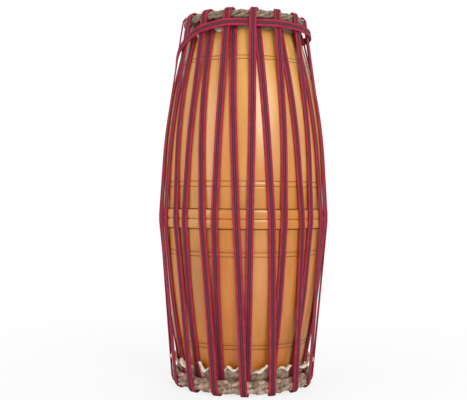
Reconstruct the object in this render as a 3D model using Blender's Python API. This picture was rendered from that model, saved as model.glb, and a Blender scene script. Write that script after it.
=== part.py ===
"""Mridangam: a two-headed South Indian barrel drum, standing on its bass end.

The drum's axis is +Z, its front is -Y, and z = 0 is the floor that the lowest strap loops rest on.
Lengths are in metres. Angles round the drum are in degrees from the front, growing towards +X.
An outline is a list of (radius, height) points that is turned round the axis.
"""

import math

import bmesh
import bpy
from mathutils import Matrix, Vector

# Whole drum
HEIGHT = 0.600
SIDES = 40
GAP = 0.0003

# Shell, turned from one log
BELLY_RADIUS = 0.1332
TREBLE_RIM_RADIUS = 0.0846
TREBLE_RIM_HEIGHT = 0.5915
TREBLE_TAPER_START = 0.300
TREBLE_TAPER_POWER = 2.15
BASS_RIM_RADIUS = 0.0958
BASS_RIM_HEIGHT = 0.005
BASS_TAPER_START = 0.270
BASS_TAPER_POWER = 1.7
RIM_ROUNDING = 0.003
WALL_MIDDLE = 0.022
WALL_MOUTH = 0.014
BORE_STATIONS = 6
STATION_SPACING = 0.042
FEATURE_CLEARANCE = 0.014

# Lines scribed on the lathe, in pairs
SCRIBED_HEIGHTS = (0.524, 0.5185, 0.330, 0.322, 0.222, 0.2156, 0.0785, 0.0724)
SCRIBED_WIDTH = 0.0014
SCRIBED_DEPTH = 0.0008

# Ring bead at the waist: two rounded lobes with a groove between and a V cut at each edge
BEAD_BOTTOM = 0.258
BEAD_TOP = 0.287
BEAD_RISE = 0.0033
BEAD_EDGE_RISE = 0.0013
BEAD_V_WIDTH = 0.0016
BEAD_V_DEPTH = 0.0010
LOBE_SHARES = (0.0, 0.14, 0.5, 0.86, 1.0)

# Hides on the treble head, from the wood outwards
THIN_HIDE = 0.0008
RING_HIDE = 0.0016
SKIRT_HIDE = 0.0026
TREBLE_INNER_OPENING = 0.060
TREBLE_OUTER_OPENING = 0.051
TREBLE_INNER_REACH = 0.577
TREBLE_SKIRT_REACH = 0.567
PATCH_RADIUS = 0.037
PATCH_HEIGHT = 0.0030
PATCH_STEPS = 4

# Reed splinters that hold the treble outer ring off the membrane
REEDS = 8
REED_LENGTH = 0.024
REED_WIDTH = 0.0018
REED_THICKNESS = 0.0009
REED_INNER_RADIUS = 0.047
REED_FIRST_ANGLE = 22.5

# Hides on the bass head
BASS_OUTER_OPENING = 0.062
BASS_MEMBRANE_REACH = 0.040
TONGUE_ROOT = 0.024
TONGUE_EDGE = 0.040
TONGUE_FLARE = 0.0035
TONGUE_UNEVEN = 0.006

# Hoops of twisted hide: centre radius, centre height and half sizes of the oval section
HOOP_SECTION_SIDES = 12
TREBLE_HOOP_RADIUS = 0.0963
TREBLE_HOOP_HALF_WIDTH = 0.0042
TREBLE_HOOP_HALF_HEIGHT = 0.00675
BASS_HOOP_RADIUS = 0.1090
BASS_HOOP_HALF_WIDTH = 0.0056
BASS_HOOP_HALF_HEIGHT = 0.011

# Lacing strap: one woven tape that runs from hoop to hoop and loops round each
RUNS_PER_HOOP = 16
PITCH = 360 / RUNS_PER_HOOP
TAPE_WIDTH = 0.0115
TAPE_THICKNESS = 0.0026
TAPE_TO_HOOP = 0.0009
TAPE_TO_WOOD = 0.0005
TAPE_SPACING = 0.040
RISING_BOTTOM_ANGLE = 4.0
RISING_WAIST_ANGLE = 4.2
RISING_TOP_ANGLE = 7.0
FALLING_TOP_ANGLE = 12.0
FALLING_WAIST_ANGLE = 18.2
FALLING_BOTTOM_ANGLE = 23.5
WAIST_HEIGHT = 0.272
SEAM_RUN = 8
SEAM_START_HEIGHT = 0.041
TAIL_END_HEIGHT = 0.082

# Slots in the outer rings, where the strap passes between hoop and shell
TREBLE_SLOT_ANGLE = 11.3
TREBLE_SLOT_WIDTH = 0.0168
TREBLE_SLOT_RADIUS = 0.0874
BASS_SLOT_ANGLE = 26.0
BASS_SLOT_WIDTH = 0.0150
BASS_SLOT_RADIUS = 0.0985
SLOT_DEPTH = 0.030

# Tie strap: angle, radius and height of the middle of its thickness, from its left end
TIE_ROUTE = (
    (-78.6, 0.1142, 0.518),
    (-76.5, 0.1143, 0.521),
    (-71, 0.1150, 0.531),
    (-65, 0.1152, 0.541),
    (-58, 0.1140, 0.550),
    (-48, 0.1122, 0.561),
    (-38, 0.1106, 0.5675),
    (-26, 0.1093, 0.572),
    (-15.5, 0.1092, 0.5745),
    (-4, 0.1050, 0.5755),
    (7, 0.1006, 0.5755),
    (18, 0.1050, 0.575),
    (29.5, 0.1092, 0.5745),
    (52, 0.1092, 0.574),
    (90, 0.1092, 0.573),
    (130, 0.1092, 0.573),
    (170, 0.1092, 0.573),
    (205, 0.1092, 0.573),
    (232, 0.1092, 0.572),
    (243, 0.1050, 0.571),
    (254.5, 0.1006, 0.570),
    (262, 0.1007, 0.569),
)
TIE_LEAN = 8.7
TIE_STEPS = 3

# Finishes: colour, roughness and metallic value
LACQUERED_WOOD = ("lacquered_jackwood", (0.62, 0.29, 0.07), 0.30, 0.0)
WOVEN_TAPE = ("woven_tape", (0.42, 0.03, 0.07), 0.75, 0.0)
ROPE_HIDE = ("rope_hide", (0.30, 0.25, 0.19), 0.70, 0.0)
BUNDLE_HIDE = ("bundle_hide", (0.36, 0.24, 0.17), 0.65, 0.0)
PALE_HIDE = ("pale_hide", (0.62, 0.52, 0.38), 0.60, 0.0)
THIN_SKIN = ("thin_skin", (0.75, 0.66, 0.50), 0.50, 0.0)
BLACK_PASTE = ("black_paste", (0.02, 0.02, 0.022), 0.45, 0.0)
DRY_REED = ("dry_reed", (0.70, 0.58, 0.30), 0.60, 0.0)


def clear_scene():
    for obj in list(bpy.data.objects):
        bpy.data.objects.remove(obj, do_unlink=True)


def finish_of(finish):
    name, colour, roughness, metallic = finish
    material = bpy.data.materials.get(name) or bpy.data.materials.new(name)
    material.use_nodes = True
    shader = material.node_tree.nodes["Principled BSDF"]
    shader.inputs["Base Color"].default_value = (*colour, 1)
    shader.inputs["Roughness"].default_value = roughness
    shader.inputs["Metallic"].default_value = metallic
    material.diffuse_color = (*colour, 1)
    return material


def object_from(name, shape, finish, sharp_angle=40):
    """Turns a finished bmesh into a named object, shaded smooth with sharp corners kept."""
    bmesh.ops.recalc_face_normals(shape, faces=shape.faces)
    mesh = bpy.data.meshes.new(name)
    shape.to_mesh(mesh)
    shape.free()
    mesh.shade_smooth()
    mesh.set_sharp_from_angle(angle=math.radians(sharp_angle))
    mesh.materials.append(finish_of(finish))
    obj = bpy.data.objects.new(name, mesh)
    bpy.context.scene.collection.objects.link(obj)
    return obj


def turned(outline):
    """Turns an outline round the drum's axis. It is closed, or starts and ends on the axis."""
    shape = bmesh.new()
    corners = [shape.verts.new((radius, 0, height)) for radius, height in outline]
    edges = [shape.edges.new(pair) for pair in zip(corners, corners[1:])]
    if outline[0][0] > 0:
        edges.append(shape.edges.new((corners[-1], corners[0])))
    bmesh.ops.spin(
        shape,
        geom=corners + edges,
        cent=(0, 0, 0),
        axis=(0, 0, 1),
        angle=math.tau,
        steps=SIDES,
        use_merge=True,
    )
    bmesh.ops.remove_doubles(shape, verts=shape.verts, dist=1e-6)
    return shape


def around(angle, radius, height):
    """The point at an angle in degrees from the front, growing towards +X."""
    turn = math.radians(angle)
    return Vector((radius * math.sin(turn), -radius * math.cos(turn), height))


def between(start, end, share):
    return start + (end - start) * share


def shell_radius(height):
    """Outer radius of the bare wood: a level belly that tapers to each rim by its own power curve."""
    if height > TREBLE_TAPER_START:
        share = (height - TREBLE_TAPER_START) / (TREBLE_RIM_HEIGHT - TREBLE_TAPER_START)
        return BELLY_RADIUS - (BELLY_RADIUS - TREBLE_RIM_RADIUS) * share**TREBLE_TAPER_POWER
    if height < BASS_TAPER_START:
        share = (BASS_TAPER_START - height) / (BASS_TAPER_START - BASS_RIM_HEIGHT)
        return BELLY_RADIUS - (BELLY_RADIUS - BASS_RIM_RADIUS) * share**BASS_TAPER_POWER
    return BELLY_RADIUS


def bore_radius(height):
    """Radius of the hollow: the wall is thickest at the middle of the drum."""
    share = abs(height - HEIGHT / 2) / (HEIGHT / 2)
    return shell_radius(height) - between(WALL_MIDDLE, WALL_MOUTH, share**2)


def bead_outline():
    """The ring bead from its top edge down to its bottom edge."""
    middle = (BEAD_TOP + BEAD_BOTTOM) / 2
    points = [(BELLY_RADIUS, BEAD_TOP + BEAD_V_WIDTH), (BELLY_RADIUS - BEAD_V_DEPTH, BEAD_TOP + BEAD_V_WIDTH / 2)]
    for top, bottom in ((BEAD_TOP, middle), (middle, BEAD_BOTTOM)):
        for share in LOBE_SHARES:
            bulge = math.sqrt(1 - (2 * share - 1) ** 2)
            rise = between(BEAD_EDGE_RISE, BEAD_RISE, bulge)
            points.append((BELLY_RADIUS + rise, between(top, bottom, share)))
        if bottom == middle:
            points.pop()
    points.append((BELLY_RADIUS - BEAD_V_DEPTH, BEAD_BOTTOM - BEAD_V_WIDTH / 2))
    points.append((BELLY_RADIUS, BEAD_BOTTOM - BEAD_V_WIDTH))
    return points


def scribed_line(height):
    """A fine V cut at a height, from its top edge down."""
    half = SCRIBED_WIDTH / 2
    return [
        (shell_radius(height + half), height + half),
        (shell_radius(height) - SCRIBED_DEPTH, height),
        (shell_radius(height - half), height - half),
    ]


def plain_heights():
    """Heights between the lines and the bead where the curve of the taper needs a point."""
    features = (*SCRIBED_HEIGHTS, BEAD_TOP, BEAD_BOTTOM)
    low = BASS_RIM_HEIGHT + RIM_ROUNDING
    high = TREBLE_RIM_HEIGHT - RIM_ROUNDING
    count = round((high - low) / STATION_SPACING)
    heights = [between(low, high, i / count) for i in range(1, count)]
    return [z for z in heights if min(abs(z - feature) for feature in features) > FEATURE_CLEARANCE]


def draped(rim, facing, over_face, over_side, reach=None):
    """One surface pulled over a rim: from the face, round the edge and, for a hide, along the wood to its reach.

    facing is 1 at the treble head and -1 at the bass head.
    over_face and over_side are how far the surface lies off the wood there.
    """
    side = rim - facing * RIM_ROUNDING
    centre = shell_radius(side) - RIM_ROUNDING
    points = []
    for degrees in (90, 45, 0):
        turn = math.radians(degrees)
        radius = centre + (RIM_ROUNDING + over_side) * math.cos(turn)
        points.append((radius, side + facing * (RIM_ROUNDING + over_face) * math.sin(turn)))
    if reach is not None:
        points.append((shell_radius(reach) + over_side, reach))
    return points


def make_barrel_shell():
    outside = [(shell_radius(z), z) for z in plain_heights()]
    for height in SCRIBED_HEIGHTS:
        outside += scribed_line(height)
    outside += bead_outline()
    outside.sort(key=lambda point: -point[1])
    treble_mouth = [(bore_radius(TREBLE_RIM_HEIGHT), TREBLE_RIM_HEIGHT), *draped(TREBLE_RIM_HEIGHT, 1, 0, 0)]
    bass_mouth = [(bore_radius(BASS_RIM_HEIGHT), BASS_RIM_HEIGHT), *draped(BASS_RIM_HEIGHT, -1, 0, 0)]
    shares = [i / BORE_STATIONS for i in range(1, BORE_STATIONS)]
    heights = [between(BASS_RIM_HEIGHT, TREBLE_RIM_HEIGHT, share) for share in shares]
    bore = [(bore_radius(z), z) for z in heights]
    outline = treble_mouth + outside + bass_mouth[::-1] + bore
    object_from("barrel_shell", turned(outline), LACQUERED_WOOD, sharp_angle=32)


def hide_outline(rim, facing, opening, lift, thickness, side, side_thickness, reach):
    """Closed outline of a hide: a disc where opening is 0, else a ring with that inner radius."""
    outer = draped(rim, facing, lift + thickness, side + side_thickness, reach)
    inner = draped(rim, facing, lift, side, reach)
    face = rim + facing * lift
    return [(opening, face + facing * thickness), *outer, *inner[::-1], (opening, face)]


def slots(angle, width, radius, low, high):
    """Sixteen cutters in one helper object: radial boxes from a radius outwards."""
    shape = bmesh.new()
    for i in range(RUNS_PER_HOOP):
        box = bmesh.ops.create_cube(shape, size=1)["verts"]
        bmesh.ops.scale(shape, vec=(width, SLOT_DEPTH, high - low), verts=box)
        bmesh.ops.translate(shape, vec=(0, -radius - SLOT_DEPTH / 2, (low + high) / 2), verts=box)
        turn = math.radians(angle + i * PITCH)
        matrix = Matrix.Rotation(turn, 3, "Z")
        bmesh.ops.rotate(shape, cent=(0, 0, 0), matrix=matrix, verts=box)
    return shape


def cut_slots(obj, angle, width, radius, low, high):
    cutter = object_from(obj.name + "_slots", slots(angle, width, radius, low, high), PALE_HIDE)
    cutter.hide_render = True
    cutter.display_type = "WIRE"
    cut = obj.modifiers.new("strap_slots", "BOOLEAN")
    cut.operation = "DIFFERENCE"
    cut.solver = "EXACT"
    cut.object = cutter


def make_treble_head():
    rim = (TREBLE_RIM_HEIGHT, 1)
    lift = GAP
    inner = hide_outline(
        *rim, TREBLE_INNER_OPENING, lift, THIN_HIDE, lift, THIN_HIDE, TREBLE_INNER_REACH
    )
    object_from("treble_inner_ring", turned(inner), PALE_HIDE)
    lift += THIN_HIDE + GAP
    membrane = hide_outline(*rim, 0, lift, THIN_HIDE, lift, THIN_HIDE, TREBLE_SKIRT_REACH)
    object_from("treble_membrane", turned(membrane), THIN_SKIN)
    membrane_top = TREBLE_RIM_HEIGHT + lift + THIN_HIDE
    side = lift + THIN_HIDE + GAP
    face = side + REED_THICKNESS + GAP
    outer = hide_outline(
        *rim, TREBLE_OUTER_OPENING, face, RING_HIDE, side, SKIRT_HIDE, TREBLE_SKIRT_REACH
    )
    ring = object_from("treble_outer_ring", turned(outer), PALE_HIDE)
    low = TREBLE_SKIRT_REACH - SLOT_DEPTH
    cut_slots(ring, TREBLE_SLOT_ANGLE, TREBLE_SLOT_WIDTH, TREBLE_SLOT_RADIUS, low, HEIGHT)
    make_tuning_patch(membrane_top + GAP)
    make_reeds(membrane_top + GAP)


def make_tuning_patch(height):
    """A low dome of hard paste on the middle of the treble membrane."""
    outline = [(0, height + PATCH_HEIGHT)]
    for i in range(1, PATCH_STEPS + 1):
        turn = math.radians(90 * i / PATCH_STEPS)
        edge = PATCH_HEIGHT * (0.25 + 0.75 * math.cos(turn))
        outline.append((PATCH_RADIUS * math.sin(turn), height + edge))
    outline += [(PATCH_RADIUS, height), (0, height)]
    object_from("treble_tuning_patch", turned(outline), BLACK_PASTE)


def make_reeds(height):
    for i in range(REEDS):
        shape = bmesh.new()
        corners = bmesh.ops.create_cube(shape, size=1)["verts"]
        bmesh.ops.scale(shape, vec=(REED_WIDTH, REED_LENGTH, REED_THICKNESS), verts=corners)
        reed = object_from(f"treble_reed_{i + 1}", shape, DRY_REED)
        angle = REED_FIRST_ANGLE + i * 360 / REEDS
        reed.location = around(
            angle, REED_INNER_RADIUS + REED_LENGTH / 2, height + REED_THICKNESS / 2
        )
        reed.rotation_euler.z = math.radians(angle)


def make_bass_head():
    rim = (BASS_RIM_HEIGHT, -1)
    lift = GAP
    membrane = hide_outline(*rim, 0, lift, THIN_HIDE, lift, THIN_HIDE, BASS_MEMBRANE_REACH)
    object_from("bass_membrane", turned(membrane), THIN_SKIN)
    lift += THIN_HIDE + GAP
    outer = draped(*rim, lift + RING_HIDE, lift + SKIRT_HIDE, TONGUE_ROOT)
    inner = draped(*rim, lift, lift, TONGUE_ROOT)
    face = BASS_RIM_HEIGHT - lift
    edge_radius = shell_radius(TONGUE_EDGE) + lift + TONGUE_FLARE
    edge = [(edge_radius + RING_HIDE, TONGUE_EDGE), (edge_radius, TONGUE_EDGE + RING_HIDE / 2)]
    outline = [(BASS_OUTER_OPENING, face - RING_HIDE)] + outer + edge + inner[::-1]
    shape = turned(outline + [(BASS_OUTER_OPENING, face)])
    for corner in shape.verts:
        if corner.co.z > TONGUE_EDGE - GAP:
            turn = math.atan2(corner.co.x, -corner.co.y)
            corner.co.z += TONGUE_UNEVEN * math.sin(5 * turn + 1) * math.cos(13 * turn)
    ring = object_from("bass_outer_ring", shape, PALE_HIDE)
    high = TONGUE_EDGE + SLOT_DEPTH
    cut_slots(ring, BASS_SLOT_ANGLE, BASS_SLOT_WIDTH, BASS_SLOT_RADIUS, -SLOT_DEPTH, high)


class Hoop:
    """An oval ring, and the line that a tape's middle takes round it."""

    def __init__(self, radius, height, half_width, half_height):
        self.radius = radius
        self.height = height
        self.half_width = half_width
        self.half_height = half_height

    def point(self, degrees, off=0.0):
        """A point off the oval: 0 degrees faces away from the drum's axis and 90 faces up."""
        turn = math.radians(degrees)
        return (
            self.radius + (self.half_width + off) * math.cos(turn),
            self.height + (self.half_height + off) * math.sin(turn),
        )

    def outline(self):
        step = 360 / HOOP_SECTION_SIDES
        return [self.point(step / 2 + i * step) for i in range(HOOP_SECTION_SIDES)]


def level_reach(half_height):
    """Height from a hoop's middle to the level stretch of a tape that passes its top or bottom."""
    step = 180 / HOOP_SECTION_SIDES
    return (half_height + TAPE_OFF) * math.cos(math.radians(step))


TAPE_OFF = TAPE_TO_HOOP + TAPE_THICKNESS / 2
TREBLE_HOOP = Hoop(
    TREBLE_HOOP_RADIUS,
    HEIGHT - TAPE_THICKNESS / 2 - level_reach(TREBLE_HOOP_HALF_HEIGHT),
    TREBLE_HOOP_HALF_WIDTH,
    TREBLE_HOOP_HALF_HEIGHT,
)
BASS_HOOP = Hoop(
    BASS_HOOP_RADIUS,
    TAPE_THICKNESS / 2 + level_reach(BASS_HOOP_HALF_HEIGHT),
    BASS_HOOP_HALF_WIDTH,
    BASS_HOOP_HALF_HEIGHT,
)


def stretched(points):
    """The line that a taut tape takes over points: the outer side of their convex hull, low to high."""
    line = []
    for radius, height in sorted(points, key=lambda point: point[1]):
        while len(line) > 1:
            (r0, z0), (r1, z1) = line[-2:]
            if (z1 - z0) * (radius - r0) - (r1 - r0) * (height - z0) < 0:
                break
            line.pop()
        line.append((radius, height))
    return line


def wood_contacts(low, high):
    """Where the middle of a tape lies when it touches the bare wood or the bead."""
    off = TAPE_TO_WOOD + TAPE_THICKNESS / 2
    count = math.ceil((high - low) / TAPE_SPACING)
    heights = [between(low, high, i / count) for i in range(count + 1)]
    points = [(shell_radius(z) + off, z) for z in heights]
    lobe = (BEAD_TOP - BEAD_BOTTOM) / 2
    for crown in (BEAD_BOTTOM + lobe / 2, BEAD_TOP - lobe / 2):
        points.append((BELLY_RADIUS + BEAD_RISE + off, crown))
    return points


def hide_contacts(reach, over_side, heights):
    """Where the middle of a tape lies when it touches the hides that cover the wood as far as reach."""
    off = over_side + TAPE_TO_WOOD + TAPE_THICKNESS / 2
    return [(shell_radius(z) + off, z) for z in (reach, *heights)]


def rising_run():
    """From the inner side of the bass hoop up to the outer side of the treble hoop."""
    start = BASS_HOOP.point(165, TAPE_OFF)
    end = TREBLE_HOOP.point(15, TAPE_OFF)
    hides = hide_contacts(BASS_MEMBRANE_REACH, GAP + THIN_HIDE, (0.030,))
    line = stretched([start, *hides, *wood_contacts(0.050, 0.560), end])
    return [(r, z, rising_angle(z)) for r, z in line]


def falling_run():
    """From the inner side of the treble hoop down to the outer side of the bass hoop."""
    start = TREBLE_HOOP.point(195, TAPE_OFF)
    end = BASS_HOOP.point(-15, TAPE_OFF)
    hides = hide_contacts(TREBLE_SKIRT_REACH, 2 * (GAP + THIN_HIDE), (0.577,))
    line = stretched([end, *wood_contacts(0.040, 0.560), *hides, start])
    return [(r, z, falling_angle(z)) for r, z in reversed(line)]


def rising_angle(height):
    if height < WAIST_HEIGHT:
        share = height / WAIST_HEIGHT
        return between(RISING_BOTTOM_ANGLE, RISING_WAIST_ANGLE, share)
    top = TREBLE_HOOP.point(15, TAPE_OFF)[1]
    share = (height - WAIST_HEIGHT) / (top - WAIST_HEIGHT)
    return between(RISING_WAIST_ANGLE, RISING_TOP_ANGLE, share)


def falling_angle(height):
    top = TREBLE_HOOP.point(195, TAPE_OFF)[1]
    if height > WAIST_HEIGHT:
        share = (height - WAIST_HEIGHT) / (top - WAIST_HEIGHT)
        return between(FALLING_WAIST_ANGLE, FALLING_TOP_ANGLE, share)
    bottom = BASS_HOOP.point(-15, TAPE_OFF)[1]
    share = (height - bottom) / (WAIST_HEIGHT - bottom)
    return between(FALLING_BOTTOM_ANGLE, FALLING_WAIST_ANGLE, share)


def loop_round(hoop, first, last, start_angle, end_angle):
    """The inner stops of a loop round a hoop, between the runs that meet it at first and last."""
    step = 360 / HOOP_SECTION_SIDES
    count = round(abs(last - first) / step)
    stops = []
    for i in range(1, count):
        radius, height = hoop.point(between(first, last, i / count), TAPE_OFF)
        stops.append((radius, height, between(start_angle, end_angle, i / count)))
    return stops


def lacing_route():
    """Stops (radius, height, angle) of the whole strap, from its tucked start to its tail."""
    rising = rising_run()
    over_treble = loop_round(TREBLE_HOOP, 15, 195, RISING_TOP_ANGLE, FALLING_TOP_ANGLE)
    falling = falling_run()
    next_rise = rising[0][2] + PITCH
    under_bass = loop_round(BASS_HOOP, -15, -195, FALLING_BOTTOM_ANGLE, next_rise)
    one_pitch = rising + over_treble + falling + under_bass
    route = []
    for i in range(RUNS_PER_HOOP):
        turn = (SEAM_RUN + i) * PITCH
        route += [(r, z, angle + turn) for r, z, angle in one_pitch]
    return tucked_start(rising, route) + tail(rising)


def on_line(line, height):
    """The stop at a height on a rising run."""
    for (r0, z0, a0), (r1, z1, a1) in zip(line, line[1:]):
        if z0 <= height <= z1:
            share = (height - z0) / (z1 - z0)
            return between(r0, r1, share), height, between(a0, a1, share)
    raise ValueError("height is off the run")


def tucked_start(rising, route):
    """The route with its first stretch cut off, so that it starts just above the bass hoop."""
    r, z, angle = on_line(rising, SEAM_START_HEIGHT)
    above = [stop for stop in route[: len(rising)] if stop[1] > SEAM_START_HEIGHT]
    return [(r, z, angle + SEAM_RUN * PITCH), *above, *route[len(rising) :]]


def tail(rising):
    """The strap's end: out from under the bass hoop, and up over its own start."""
    over = TAPE_THICKNESS + GAP
    turn = (SEAM_RUN + RUNS_PER_HOOP) * PITCH
    stops = [(rising[0][0], rising[0][1], rising[0][2] + turn)]
    for height in (SEAM_START_HEIGHT - TAPE_THICKNESS, (SEAM_START_HEIGHT + TAIL_END_HEIGHT) / 2, TAIL_END_HEIGHT):
        r, z, angle = on_line(rising, height)
        stops.append((r + over, z, angle + turn))
    return stops


def mitred_normals(route):
    """For each stop, the tape's normal in its (radius, height) plane, long enough to keep its thickness."""
    sides = []
    for (r0, z0, _), (r1, z1, _) in zip(route, route[1:]):
        length = math.hypot(r1 - r0, z1 - z0)
        sides.append(Vector(((z1 - z0) / length, (r0 - r1) / length)))
    normals = []
    for before, after in zip(sides[:1] + sides, sides + sides[-1:]):
        middle = (before + after).normalized()
        normals.append(middle / middle.dot(after))
    return normals


def lofted(sections):
    """A bar through four-cornered sections, capped at both ends."""
    shape = bmesh.new()
    rings = [[shape.verts.new(corner) for corner in section] for section in sections]
    shape.faces.new(rings[0])
    shape.faces.new(rings[-1])
    for ring, after in zip(rings, rings[1:]):
        for i in range(4):
            shape.faces.new((ring[i - 1], ring[i], after[i], after[i - 1]))
    return shape


def tape_section(middle, normal, across):
    """Corners of the tape's section at a point of its route."""
    thick = normal * (TAPE_THICKNESS / 2)
    wide = across * (TAPE_WIDTH / 2)
    return [middle + thick + wide, middle + thick - wide, middle - thick - wide, middle - thick + wide]


def make_lacing_strap():
    route = lacing_route()
    sections = []
    for (radius, height, angle), normal in zip(route, mitred_normals(route)):
        outward = around(angle, normal.x, normal.y)
        across = around(angle + 90, 1, 0)
        sections.append(tape_section(around(angle, radius, height), outward, across))
    object_from("lacing_strap", lofted(sections), WOVEN_TAPE, sharp_angle=60)


def smooth_route(stops, steps):
    """A smooth curve through the stops, with that many steps from each to the next."""
    points = [Vector(stop) for stop in stops]
    ends = [2 * points[0] - points[1], *points, 2 * points[-1] - points[-2]]
    curve = []
    for a, b, c, d in zip(ends, ends[1:], ends[2:], ends[3:]):
        for i in range(steps):
            t = i / steps
            curve.append(
                b
                + (c - a) * (t / 2)
                + (2 * a - 5 * b + 4 * c - d) * (t * t / 2)
                + (3 * b - a - 3 * c + d) * (t * t * t / 2)
            )
    return [*curve, points[-1]]


def make_tie_strap():
    stops = smooth_route(TIE_ROUTE, TIE_STEPS)
    middles = [around(*stop) for stop in stops]
    lean = math.radians(TIE_LEAN)
    sections = []
    for i, stop in enumerate(stops):
        along = (middles[min(i + 1, len(stops) - 1)] - middles[max(i - 1, 0)]).normalized()
        outward = around(stop[0], math.cos(lean), math.sin(lean))
        outward = (outward - along * outward.dot(along)).normalized()
        sections.append(tape_section(middles[i], outward, along.cross(outward)))
    object_from("tie_strap", lofted(sections), WOVEN_TAPE, sharp_angle=60)


def make_hoops():
    object_from("treble_hoop", turned(TREBLE_HOOP.outline()), ROPE_HIDE, sharp_angle=60)
    object_from("bass_hoop", turned(BASS_HOOP.outline()), BUNDLE_HIDE, sharp_angle=60)


def main():
    clear_scene()
    make_barrel_shell()
    make_treble_head()
    make_bass_head()
    make_hoops()
    make_lacing_strap()
    make_tie_strap()


main()
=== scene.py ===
"""Mridangam: the looks of a two-headed barrel drum that stands on its bass end, laced with one woven tape.

Lengths are in metres. Angles round the drum are in degrees from the front (-Y), growing towards +X.
An outline is a list of (radius, height) points that is turned round the drum's axis.
"""

import math

import bmesh
import bpy
from bpy.props import FloatProperty, FloatVectorProperty, IntProperty, PointerProperty
from mathutils import Matrix, Vector, noise


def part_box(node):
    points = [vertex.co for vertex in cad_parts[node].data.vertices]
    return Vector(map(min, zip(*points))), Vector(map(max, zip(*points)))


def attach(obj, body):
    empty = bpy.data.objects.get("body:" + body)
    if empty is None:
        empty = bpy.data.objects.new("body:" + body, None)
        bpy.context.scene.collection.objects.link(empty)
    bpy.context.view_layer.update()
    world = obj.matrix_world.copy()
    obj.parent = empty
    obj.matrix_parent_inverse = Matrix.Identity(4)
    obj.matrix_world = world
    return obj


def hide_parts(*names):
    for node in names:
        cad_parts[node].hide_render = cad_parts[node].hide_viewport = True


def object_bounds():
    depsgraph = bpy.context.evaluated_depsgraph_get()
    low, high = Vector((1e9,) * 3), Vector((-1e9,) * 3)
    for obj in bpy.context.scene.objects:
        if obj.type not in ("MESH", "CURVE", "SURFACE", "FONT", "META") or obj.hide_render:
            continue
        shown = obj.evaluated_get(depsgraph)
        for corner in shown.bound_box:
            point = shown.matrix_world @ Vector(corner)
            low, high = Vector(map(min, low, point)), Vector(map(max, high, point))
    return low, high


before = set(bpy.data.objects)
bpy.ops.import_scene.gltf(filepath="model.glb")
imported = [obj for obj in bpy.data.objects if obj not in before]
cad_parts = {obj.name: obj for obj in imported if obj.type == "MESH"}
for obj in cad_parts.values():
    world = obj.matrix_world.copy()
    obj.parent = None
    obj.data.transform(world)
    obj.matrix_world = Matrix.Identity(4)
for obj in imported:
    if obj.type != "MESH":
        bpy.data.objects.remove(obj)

bl_info = {
    "name": "Mridangam",
    "version": (1, 0, 0),
    "blender": (4, 5, 0),
    "location": "3D View > Sidebar > Mridangam",
    "description": "Builds a laced two-headed barrel drum round its frame",
    "category": "Add Mesh",
}

CAD_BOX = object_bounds()
HEIGHT = CAD_BOX[1][2]

# Shell
BELLY_RADIUS = 0.1332
TREBLE_RIM_RADIUS = 0.0846
TREBLE_RIM_HEIGHT = 0.5915
TREBLE_TAPER_START = 0.300
TREBLE_TAPER_POWER = 2.15
BASS_RIM_RADIUS = 0.0958
BASS_RIM_HEIGHT = 0.005
BASS_TAPER_START = 0.270
BASS_TAPER_POWER = 1.7
RIM_ROUNDING = 0.003
RIM_STEPS = 6
WALL_AT_MOUTH = 0.014
WALL_IN_BORE = 0.0196
STATION_SPACING = 0.006
BORE_STATION_STEP = 8
SCRIBED_HEIGHTS = (0.524, 0.5185, 0.330, 0.322, 0.222, 0.2156, 0.0785, 0.0724)
SCRIBED_WIDTH = 0.0015
SCRIBED_DEPTH = 0.0009
BEAD_BOTTOM = 0.258
BEAD_TOP = 0.287
BEAD_RISE = 0.0033
BEAD_EDGE_RISE = 0.0013
BEAD_V_WIDTH = 0.0018
BEAD_V_DEPTH = 0.0012
LOBE_STEPS = 10
LOBE_ROUNDNESS = 0.6
# Depth and half width of the painted shade at the bottoms of the cuts
PAINTED_DEPTH = 0.003
PAINTED_HALF_WIDTH = 0.0001

# Heads: the hide's heights, its distances off the wood, and how uneven its edges are
TREBLE_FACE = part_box("treble_outer_ring")[1][2]
TREBLE_OPENING = 0.051
BASS_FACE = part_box("bass_outer_ring")[0][2]
BASS_OPENING = 0.062
RING_HIDE = 0.0016
TONGUE_HIDE = 0.0012
TREBLE_HIDE_OFF = 0.0025
BASS_HIDE_OFF = 0.0014
TREBLE_REACH = 0.567
TREBLE_BENDS = (0.580, 0.573)
TREBLE_UNEVEN = 0.0025
TREBLE_LONGER_ON_LEFT = 0.009
TREBLE_LIFT = 0.0006
TREBLE_LIFT_ON_LEFT = 0.0040
BASS_WALL_HEIGHT = 0.016
BASS_ROOT = 0.024
BASS_ROOT_OFF = 0.0012
BASS_FLARE_HEIGHT = 0.031
BASS_FLARE_SHARE = 0.45
BASS_EDGE = 0.041
BASS_UNEVEN = 0.011
BASS_LEAN = 0.0020
BASS_LEAN_BETWEEN_STRAPS = 0.0040
CURL_TURN = 0.95 * math.pi
CURL_STEPS = 6
TONGUE_CELLS = (18, 34)
TONGUE_RIPPLE = 0.0022
TONGUE_RIPPLES_OVER = (0.45, 0.8)
TONGUE_TEARS_OVER = (0.72, 0.93)
TONGUE_START_INSIDE = 0.006
RING_TO_TONGUES = 0.0003
RING_EDGE_TORN = 0.9
PATCH_RADIUS = 0.037
PATCH_BOTTOM, PATCH_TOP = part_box("treble_tuning_patch")[0][2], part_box("treble_tuning_patch")[1][2]
PATCH_EDGE_SHARE = 0.2
PATCH_LAYER = 0.00012
PATCH_RINGS = 16

# Slots for the tape in the outer rings: first middle angle, half angle, radius of the inner end
TREBLE_SLOT = (11.3, 5.1, 0.0870)
BASS_SLOT = (26.0, 4.1, 0.0980)

# Strands of both hoops. The hoops' own sizes follow the Hoop class
STATIONS_PER_TWIST = 54
STRAND_SLACK = 0.10
STRAND_SWELL = 0.16

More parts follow.
